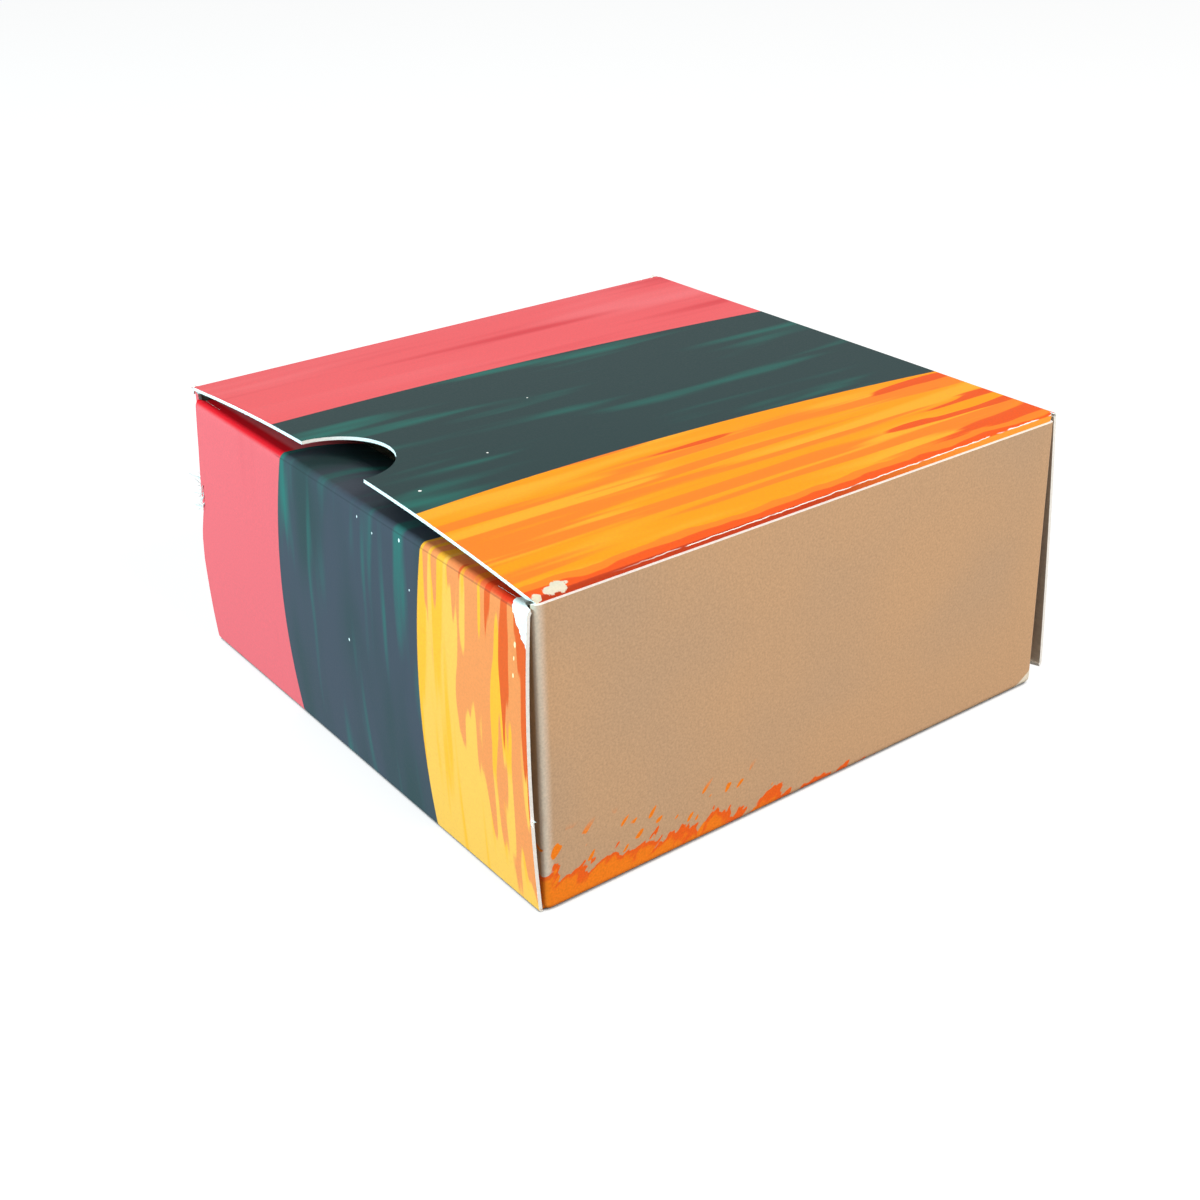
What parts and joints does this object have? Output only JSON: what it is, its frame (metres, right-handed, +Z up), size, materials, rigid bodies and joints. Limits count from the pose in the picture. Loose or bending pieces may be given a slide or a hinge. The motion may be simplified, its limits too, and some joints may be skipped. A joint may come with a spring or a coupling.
{
  "type": "cardboard gift box",
  "caption": "Square folding board carton with hinged tuck lids at its ends, a thumb notch in the top edge and broad colour bands; holds a small gift.",
  "frame": {"origin": "middle of the bottom panel's outer face, which lies on the table", "axes": "+Z up, -Y towards the front lid with the thumb notch above it, +X towards the plain seam panel"},
  "size_m": [0.1, 0.1043, 0.0504],
  "materials": {
    "carton_board": "matte printed board, white inside",
    "lid_board": "matte printed board, white inside"
  },
  "bodies": {
    "carton": {"carton_body": "carton_board"},
    "front_lid": {"front_lid": "lid_board"},
    "rear_lid": {"rear_lid": "lid_board"}
  },
  "joints": [
    {"name": "front_lid_hinge", "type": "hinge", "parent": "carton", "child": "front_lid", "pos_m": [0, -0.05055, 0], "axis": [1, 0, 0], "range_deg": [0, 85]},
    {"name": "rear_lid_hinge", "type": "hinge", "parent": "carton", "child": "rear_lid", "pos_m": [0, 0.05055, 0.048], "axis": [1, 0, 0], "range_deg": [0, 170]}
  ]
}
